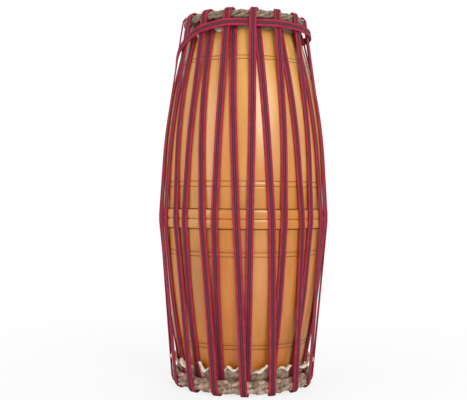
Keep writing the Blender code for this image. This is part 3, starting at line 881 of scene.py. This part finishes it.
class MRIDANGAM_OT_bass_head(bpy.types.Operator):
    """Dress the bass head: outer ring, torn curling margin, and the finish of the membrane"""

    bl_idname = "mridangam.bass_head"
    bl_label = "Bass Head"

    def execute(self, context):
        edge = BASS_SLOT[2] - RING_TO_TONGUES
        outer_ring("bass_ring_hide", BASS_FACE, -1, BASS_OPENING, edge, "ragged_hide", "bass_outer_ring")
        add_tongues("bass_margin", "ragged_hide", BASS_SLOT, bass_profile, bass_torn)
        finish_nodes("bass_membrane", "thin_skin")
        return {"FINISHED"}


class Hoop:
    """An oval of half sizes (out, up) round the drum, twisted from strands that swing (out, up) inside it.

    Its point method gives the line that a tape's middle takes round it.
    """

    def __init__(self, radius, half, at_top, strands, swing, strand_radius, crease):
        self.radius = radius
        self.half = half
        self.strands = strands
        self.swing = swing
        self.strand_radius = strand_radius
        self.crease = crease
        reach = (half[1] + TAPE_OFF_HOOP) * math.cos(math.radians(LOOP_MEETS_RUN)) + TAPE_THICKNESS / 2
        self.height = HEIGHT - reach if at_top else reach

    def point(self, degrees):
        turn = math.radians(degrees)
        return (
            self.radius + (self.half[0] + TAPE_OFF_HOOP) * math.cos(turn),
            self.height + (self.half[1] + TAPE_OFF_HOOP) * math.sin(turn),
        )


TREBLE_HOOP = Hoop(
    radius=0.0963,
    half=(0.0042, 0.00675),
    at_top=True,
    strands=3,
    swing=(0.0016, 0.0036),
    strand_radius=0.0031,
    crease=0.0004,
)
BASS_HOOP = Hoop(
    radius=0.1090,
    half=(0.0056, 0.011),
    at_top=False,
    strands=4,
    swing=(0.0018, 0.0066),
    strand_radius=0.0043,
    crease=0.0012,
)


def strand_tube(name, hoop, index, twists):
    """The bare tube of one strand, which winds through the hoop's oval and swells a little on its way."""
    curve = bpy.data.curves.new(name, "CURVE")
    curve.dimensions = "3D"
    curve.bevel_depth = hoop.strand_radius
    curve.bevel_resolution = 4
    count = STATIONS_PER_TWIST * twists
    spline = curve.splines.new("POLY")
    spline.points.add(count - 1)
    spline.use_cyclic_u = True
    for i, point in enumerate(spline.points):
        angle = 360 * i / count
        turn = math.radians(twists * angle) + math.tau * index / hoop.strands
        slack = 1 + STRAND_SLACK * noise.noise(Vector((angle * 0.2, index, 5)))
        radius = hoop.radius + hoop.swing[0] * math.cos(turn) * slack
        place = around(angle, radius, hoop.height + hoop.swing[1] * math.sin(turn) * slack)
        point.co = (*place, 1)
        point.radius = 1 + STRAND_SWELL * noise.noise(Vector((angle * 0.33, index * 3, 1)))
    holder = bpy.data.objects.new(name, curve)
    mesh = bpy.data.meshes.new_from_object(holder)
    bpy.data.objects.remove(holder)
    return mesh


def crease_strand(mesh, depth):
    """Presses creases into a strand's skin."""
    shape = bmesh.new()
    shape.from_mesh(mesh)
    bmesh.ops.remove_doubles(shape, verts=shape.verts, dist=1e-6)
    shape.normal_update()
    for corner in shape.verts:
        crease = noise.noise(corner.co * 260) * 0.6 + noise.noise(corner.co * 620) * 0.4
        corner.co += corner.normal * depth * crease
    bmesh.ops.recalc_face_normals(shape, faces=shape.faces)
    shape.to_mesh(mesh)
    shape.free()
    mesh.shade_smooth()


def add_hoop(hoop, end, twists, slot):
    """Twists a hoop's strands. The first one stands for the hoop's node."""
    for i in range(hoop.strands):
        name = f"{end}_strand_{i + 1}"
        mesh = strand_tube(name, hoop, i, twists)
        crease_strand(mesh, hoop.crease)
        add_piece(name, mesh, slot, f"{end}_hoop" if i == 0 else None)


class MRIDANGAM_OT_hoops(bpy.types.Operator):
    """Twist the hide strands of both hoops"""

    bl_idname = "mridangam.hoops"
    bl_label = "Hoops"

    def execute(self, context):
        sizes = context.scene.mridangam.sizes
        add_hoop(TREBLE_HOOP, "treble", sizes.treble_twists, "rope_hide")
        add_hoop(BASS_HOOP, "bass", sizes.bass_twists, "bundle_hide")
        return {"FINISHED"}


def stretched(points):
    """The line that a taut tape takes over points: the outer side of their convex hull, low to high."""
    line = []
    for radius, height in sorted(points, key=lambda point: point[1]):
        while len(line) > 1:
            (r0, z0), (r1, z1) = line[-2:]
            if (z1 - z0) * (radius - r0) - (r1 - r0) * (height - z0) < 0:
                break
            line.pop()
        line.append((radius, height))
    return line


def wood_contacts(low, high):
    """Where the middle of a tape lies when it touches the bare wood or the bead."""
    points = []
    for i in range(WOOD_TOUCHES + 1):
        z = between(low, high, i / WOOD_TOUCHES)
        points.append((shell_radius(z) + TAPE_OFF_WOOD, z))
    lobe = (BEAD_TOP - BEAD_BOTTOM) / 2
    for crown in (BEAD_BOTTOM + lobe / 2, BEAD_TOP - lobe / 2):
        points.append((BELLY_RADIUS + BEAD_RISE + TAPE_OFF_WOOD, crown))
    return points


def run_angle(angles, low, high, height):
    """An angle that turns steadily from low to the waist, and from the waist to high."""
    if height < WAIST_HEIGHT:
        return between(angles[0], angles[1], (height - low) / (WAIST_HEIGHT - low))
    return between(angles[1], angles[2], (height - WAIST_HEIGHT) / (high - WAIST_HEIGHT))


def rising_run():
    """From the inner side of the bass hoop up to the outer side of the treble hoop."""
    start, end = BASS_HOOP.point(180 - LOOP_MEETS_RUN), TREBLE_HOOP.point(LOOP_MEETS_RUN)
    hides = [(shell_radius(z) + TAPE_OFF_BASS_HIDE, z) for z in BASS_HIDE_TOUCHES]
    line = stretched([start, *hides, *wood_contacts(WOOD_TOUCH_BOTTOM["rising"], WOOD_TOUCH_TOP), end])
    return [(r, z, run_angle(RISING_ANGLES, 0, end[1], z)) for r, z in line]


def falling_run():
    """From the inner side of the treble hoop down to the outer side of the bass hoop."""
    start, end = TREBLE_HOOP.point(180 + LOOP_MEETS_RUN), BASS_HOOP.point(-LOOP_MEETS_RUN)
    hides = [(shell_radius(z) + TAPE_OFF_TREBLE_HIDE, z) for z in TREBLE_HIDE_TOUCHES]
    line = stretched([end, *wood_contacts(WOOD_TOUCH_BOTTOM["falling"], WOOD_TOUCH_TOP), *hides, start])
    turns = FALLING_ANGLES[::-1]
    return [(r, z, run_angle(turns, end[1], start[1], z)) for r, z in reversed(line)]


def loop_round(hoop, first, last, start_angle, end_angle):
    """The inner stops of a loop round a hoop, between the runs that meet it at first and last."""
    count = round(abs(last - first) / LOOP_STEP)
    stops = []
    for i in range(1, count):
        radius, height = hoop.point(between(first, last, i / count))
        stops.append((radius, height, between(start_angle, end_angle, i / count)))
    return stops


def on_line(line, height):
    """The point of a rising run at a height."""
    for (r0, z0, a0), (r1, z1, a1) in zip(line, line[1:]):
        if z0 <= height <= z1:
            share = (height - z0) / (z1 - z0)
            return between(r0, r1, share), height, between(a0, a1, share)
    raise ValueError("height is off the run")


def lacing_route():
    """Stops (radius, height, angle) of the whole tape, from its tucked start to its tail."""
    rising = rising_run()
    falling = falling_run()
    outer, inner = LOOP_MEETS_RUN, 180 + LOOP_MEETS_RUN
    over_treble = loop_round(TREBLE_HOOP, outer, inner, rising[-1][2], falling[0][2])
    under_bass = loop_round(BASS_HOOP, -outer, -inner, falling[-1][2], rising[0][2] + PITCH)
    one_pitch = rising + over_treble + falling + under_bass
    route = []
    for i in range(RUNS_PER_HOOP):
        turn = (SEAM_RUN + i) * PITCH
        route += [(r, z, angle + turn) for r, z, angle in one_pitch]
    r, z, angle = on_line(rising, SEAM_START_HEIGHT)
    above = [stop for stop in route[: len(rising)] if stop[1] > SEAM_START_HEIGHT]
    route = [(r, z, angle + SEAM_RUN * PITCH), *above, *route[len(rising) :]]
    turn = (SEAM_RUN + RUNS_PER_HOOP) * PITCH
    route.append((rising[0][0], rising[0][1], rising[0][2] + turn))
    tail_start = SEAM_START_HEIGHT - TAPE_THICKNESS
    for i in range(TAIL_STEPS + 1):
        r, z, angle = on_line(rising, between(tail_start, TAIL_END_HEIGHT, i / TAIL_STEPS))
        route.append((r + TAPE_THICKNESS, z, angle + turn))
    return route


def evened(route):
    """Adds stops to long stretches of a route, so that the tape bends and its weave runs evenly."""
    fine = [route[0]]
    for a, b in zip(route, route[1:]):
        count = max(1, math.ceil(math.dist(a[:2], b[:2]) / LONGEST_STATION))
        for i in range(1, count + 1):
            fine.append(tuple(between(a[j], b[j], i / count) for j in range(3)))
    return fine


def add_tape(name, stations, replaced):
    """Lays a flat tape through its stations, each a middle and the direction across. Returns its length."""
    rows = len(stations) - 1
    distances = [0.0]
    for (a, _), (b, _) in zip(stations, stations[1:]):
        distances.append(distances[-1] + (b - a).length)
    shape = bmesh.new()
    uv = shape.loops.layers.uv.new("tape")
    bmesh.ops.create_grid(shape, x_segments=TAPE_CELLS, y_segments=rows, size=0.5)
    shares = {}
    for corner in shape.verts:
        across, row = corner.co.x + 0.5, round((corner.co.y + 0.5) * rows)
        shares[corner] = (across, distances[row])
        middle, sideways = stations[row]
        corner.co = middle + sideways * ((across - 0.5) * TAPE_WIDTH)
    for face in shape.faces:
        for loop in face.loops:
            loop[uv].uv = shares[loop.vert]
    obj = add_piece(name, mesh_from(name, shape, 60), "woven_tape", replaced)
    thick = obj.modifiers.new("tape_thickness", "SOLIDIFY")
    thick.thickness = TAPE_THICKNESS - TAPE_PLAY
    thick.offset = 0
    soft = obj.modifiers.new("tape_edges", "BEVEL")
    soft.width = TAPE_EDGE_ROUNDING
    soft.segments = 2
    soft.limit_method = "ANGLE"
    return distances[-1]


class MRIDANGAM_OT_lacing(bpy.types.Operator):
    """Lace the one long woven tape between the hoops"""

    bl_idname = "mridangam.lacing"
    bl_label = "Lacing Strap"

    def execute(self, context):
        stations = []
        for radius, height, angle in evened(lacing_route()):
            stations.append((around(angle, radius, height), around(angle + 90, 1, 0)))
        length = add_tape("woven_lacing", stations, "lacing_strap")
        self.report({"INFO"}, f"The lacing strap is {length:.2f} m long")
        return {"FINISHED"}


def smooth_route(stops, steps):
    """A smooth curve through the stops, with that many steps from each to the next."""
    points = [Vector(stop) for stop in stops]
    ends = [2 * points[0] - points[1], *points, 2 * points[-1] - points[-2]]
    curve = []
    for a, b, c, d in zip(ends, ends[1:], ends[2:], ends[3:]):
        for i in range(steps):
            t = i / steps
            bend = (2 * a - 5 * b + 4 * c - d) * (t * t / 2) + (3 * b - a - 3 * c + d) * (t * t * t / 2)
            curve.append(b + (c - a) * (t / 2) + bend)
    return [*curve, points[-1]]


class MRIDANGAM_OT_tie_strap(bpy.types.Operator):
    """Wind the tie strap round the treble end, over and under the lacing"""

    bl_idname = "mridangam.tie_strap"
    bl_label = "Tie Strap"

    def execute(self, context):
        stops = smooth_route(TIE_ROUTE, TIE_STEPS)
        middles = [around(*stop) for stop in stops]
        lean = math.radians(TIE_LEAN)
        stations = []
        for i, stop in enumerate(stops):
            along = middles[min(i + 1, len(stops) - 1)] - middles[max(i - 1, 0)]
            along.normalize()
            outward = around(stop[0], math.cos(lean), math.sin(lean))
            outward -= along * outward.dot(along)
            stations.append((middles[i], along.cross(outward.normalized())))
        length = add_tape("woven_tie", stations, "tie_strap")
        self.report({"INFO"}, f"The tie strap is {length:.2f} m long")
        return {"FINISHED"}


def add_lamp(name, place, target, size, power):
    lamp = bpy.data.lights.new(name, "AREA")
    lamp.shape = "DISK"
    lamp.size = size
    lamp.energy = power
    obj = bpy.data.objects.new(name, lamp)
    obj.location = place
    obj.rotation_euler = (Vector(target) - Vector(place)).to_track_quat("-Z", "Y").to_euler()
    bpy.context.scene.collection.objects.link(obj)


def add_floor():
    """A plain pale floor that stays near white in the view and keeps the drum's shadow."""
    shape = bmesh.new()
    bmesh.ops.create_grid(shape, x_segments=1, y_segments=1, size=FLOOR_HALF_SIZE)
    mesh = mesh_from("floor", shape, recalculate=False)
    material, tree, shader = new_material("pale_floor")
    feed(tree, shader, {"Base Color": (0.86, 0.86, 0.86, 1), "Roughness": 0.8})
    white = put(tree, "ShaderNodeEmission", {"Color": (1, 1, 1, 1), "Strength": 1.0})
    seen = put(tree, "ShaderNodeLightPath")
    looked_at = maths(tree, "MAXIMUM", seen.outputs["Is Camera Ray"], seen.outputs["Is Transmission Ray"])
    place = object_coordinates(tree)
    away = put(tree, "ShaderNodeVectorMath", {0: place}, operation="LENGTH").outputs["Value"]
    faded = maths(tree, "MULTIPLY", sharpen(tree, away, *FLOOR_FADE), 1 - FLOOR_WHITE_NEAR)
    whiteness = maths(tree, "ADD", faded, FLOOR_WHITE_NEAR, True)
    share = maths(tree, "MULTIPLY", looked_at, whiteness)
    mix = put(tree, "ShaderNodeMixShader", {0: share, 1: shader.outputs[0], 2: white.outputs[0]})
    feed(tree, tree.nodes["Material Output"], {"Surface": mix.outputs[0]})
    mesh.materials.append(material)
    obj = bpy.data.objects.new("floor", mesh)
    bpy.context.scene.collection.objects.link(obj)


def light_world():
    """Even soft light on the drum, and a white background in the view."""
    world = bpy.data.worlds.new("studio")
    world.use_nodes = True
    tree = world.node_tree
    tree.nodes.clear()
    soft = put(tree, "ShaderNodeBackground", {"Color": (1, 1, 1, 1), "Strength": WORLD_STRENGTH})
    white = put(tree, "ShaderNodeBackground", {"Color": (1, 1, 1, 1), "Strength": 1.0})
    seen = put(tree, "ShaderNodeLightPath")
    glossy = maths(tree, "MAXIMUM", seen.outputs["Is Glossy Ray"], seen.outputs["Is Transmission Ray"])
    factor = maths(tree, "MAXIMUM", seen.outputs["Is Camera Ray"], glossy)
    mix = put(tree, "ShaderNodeMixShader", {0: factor, 1: soft.outputs[0], 2: white.outputs[0]})
    put(tree, "ShaderNodeOutputWorld", {"Surface": mix.outputs[0]})
    bpy.context.scene.world = world


def add_camera():
    camera = bpy.data.cameras.new("photo_camera")
    camera.lens = CAMERA_LENS
    camera.sensor_width = CAMERA_SENSOR
    obj = bpy.data.objects.new("photo_camera", camera)
    turn = Matrix.Rotation(math.radians(CAMERA_TURN_LEFT), 4, "Z")
    pitch = Matrix.Rotation(math.radians(90 - CAMERA_PITCH_DOWN), 4, "X")
    roll = Matrix.Rotation(math.radians(CAMERA_ROLL), 4, "Z")
    obj.matrix_world = Matrix.Translation((0, -CAMERA_DISTANCE, CAMERA_HEIGHT)) @ turn @ pitch @ roll
    bpy.context.scene.collection.objects.link(obj)
    bpy.context.scene.camera = obj


class MRIDANGAM_OT_stage(bpy.types.Operator):
    """Set the camera, the soft studio lamps and the pale floor"""

    bl_idname = "mridangam.stage"
    bl_label = "Stage"

    def execute(self, context):
        add_floor()
        light_world()
        add_camera()
        for name, (place, target, size, power) in LAMPS.items():
            add_lamp(name, place, target, size, power)
        context.scene.view_settings.view_transform = "Standard"
        return {"FINISHED"}


OPERATORS = (
    MRIDANGAM_OT_stage,
    MRIDANGAM_OT_shell,
    MRIDANGAM_OT_treble_head,
    MRIDANGAM_OT_bass_head,
    MRIDANGAM_OT_hoops,
    MRIDANGAM_OT_lacing,
    MRIDANGAM_OT_tie_strap,
)


class MRIDANGAM_PT_panel(bpy.types.Panel):
    """Lists the drum's pieces, sizes and colours"""

    bl_idname = "MRIDANGAM_PT_panel"
    bl_label = "Mridangam"
    bl_space_type = "VIEW_3D"
    bl_region_type = "UI"
    bl_category = "Mridangam"

    def draw(self, context):
        for operator in OPERATORS:
            self.layout.operator(operator.bl_idname)
        settings = context.scene.mridangam
        for group in (settings.sizes, settings.colours):
            for name in group.__annotations__:
                self.layout.prop(group, name)


CLASSES = (MridangamColours, MridangamSizes, MridangamSettings, *OPERATORS, MRIDANGAM_PT_panel)


def register():
    for cls in CLASSES:
        bpy.utils.register_class(cls)
    bpy.types.Scene.mridangam = PointerProperty(type=MridangamSettings)


def unregister():
    del bpy.types.Scene.mridangam
    for cls in reversed(CLASSES):
        bpy.utils.unregister_class(cls)


def main():
    register()
    bpy.ops.mridangam.stage()
    bpy.ops.mridangam.shell()
    bpy.ops.mridangam.treble_head()
    bpy.ops.mridangam.bass_head()
    bpy.ops.mridangam.hoops()
    bpy.ops.mridangam.lacing()
    bpy.ops.mridangam.tie_strap()


if __name__ == "__main__":
    main()
